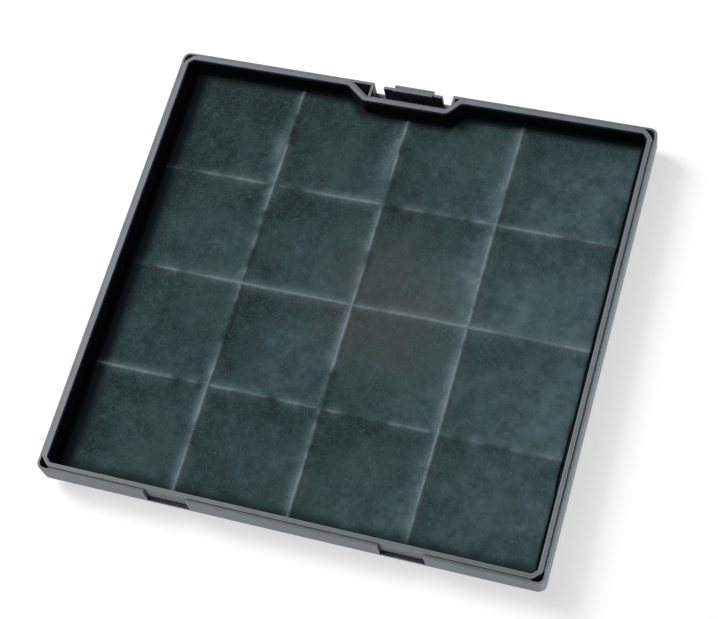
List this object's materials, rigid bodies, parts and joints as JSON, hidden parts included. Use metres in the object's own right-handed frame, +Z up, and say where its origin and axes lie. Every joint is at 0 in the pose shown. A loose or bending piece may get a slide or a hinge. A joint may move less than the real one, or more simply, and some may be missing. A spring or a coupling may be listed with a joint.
{
  "type": "cooker hood carbon filter",
  "caption": "Shallow black plastic tray frame with a snap tongue, holding activated carbon granules in a lattice of cells between two fleeces.",
  "frame": {"origin": "centre of the bounding box at the lowest face, on which the filter lies with its tray open upward", "axes": "+X across the tray from left to right, +Y towards the snap tongue, +Z up out of the tray"},
  "size_m": [0.25, 0.2408, 0.02],
  "materials": {
    "frame_plastic": "moulded black polypropylene, satin",
    "front_fleece": "dark grey-green non-woven fleece, fibrous",
    "rear_fleece": "dark non-woven fleece, matt",
    "carbon_granules": "black carbon granules, matt"
  },
  "bodies": {
    "tray": {"frame": "frame_plastic", "front_fleece": "front_fleece", "rear_fleece": "rear_fleece", "carbon_bed_1_1": "carbon_granules", "carbon_bed_1_2": "carbon_granules", "carbon_bed_1_3": "carbon_granules", "carbon_bed_1_4": "carbon_granules", "carbon_bed_2_1": "carbon_granules", "carbon_bed_2_2": "carbon_granules", "carbon_bed_2_3": "carbon_granules", "carbon_bed_2_4": "carbon_granules", "carbon_bed_3_1": "carbon_granules", "carbon_bed_3_2": "carbon_granules", "carbon_bed_3_3": "carbon_granules", "carbon_bed_3_4": "carbon_granules", "carbon_bed_4_1": "carbon_granules", "carbon_bed_4_2": "carbon_granules", "carbon_bed_4_3": "carbon_granules", "carbon_bed_4_4": "carbon_granules"},
    "tongue": {"latch_tongue": "frame_plastic"}
  },
  "joints": [
    {"name": "latch_flex", "type": "hinge", "parent": "tray", "child": "tongue", "pos_m": [0, 0.11695, 0.0093], "axis": [1, 0, 0], "range_deg": [0, 10], "stiffness_Nm_per_rad": 0.5}
  ]
}
